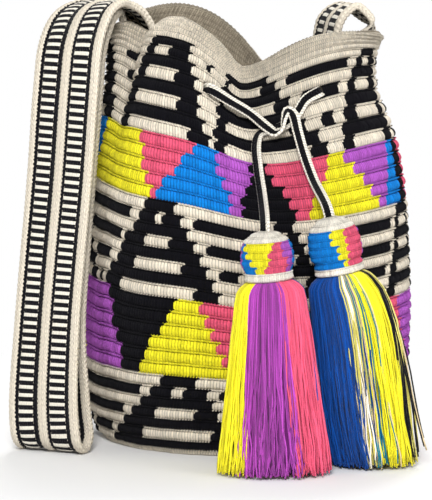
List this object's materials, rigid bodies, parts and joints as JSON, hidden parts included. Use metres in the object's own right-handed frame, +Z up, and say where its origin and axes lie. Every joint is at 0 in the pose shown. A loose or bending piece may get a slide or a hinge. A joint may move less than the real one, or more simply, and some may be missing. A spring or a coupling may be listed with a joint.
{
  "type": "crocheted bucket bag with shoulder strap",
  "caption": "Ribbed crocheted bucket bag with a gathered mouth, a drawstring tied in a half knot with hanging tassels, and a long flat woven shoulder strap.",
  "frame": {"origin": "centre of the flat underside of the base, on the surface the bag stands on", "axes": "+Z up, -Y towards the front with the knot and tassels, +X to the right in the front view"},
  "size_m": [0.2689, 0.2692, 0.2972],
  "materials": {
    "body_yarn": "matt crocheted cotton yarn",
    "strap_weave": "matt woven cotton band",
    "sewing_yarn": "matt cotton yarn",
    "drawstring_braid": "matt braided cotton",
    "cap_yarn": "matt crocheted cotton yarn",
    "tassel_purple": "soft cotton yarn",
    "tassel_blue": "soft cotton yarn"
  },
  "bodies": {
    "root": {"bag_body": "body_yarn", "shoulder_strap": "strap_weave", "strap_seam_left": "sewing_yarn", "strap_seam_right": "sewing_yarn", "drawstring": "drawstring_braid", "tassel_cap_left": "cap_yarn", "tassel_cap_right": "cap_yarn", "tassel_binding_left": "sewing_yarn", "tassel_binding_right": "sewing_yarn", "tassel_yarn_left": "tassel_purple", "tassel_yarn_right": "tassel_blue"}
  },
  "joints": []
}
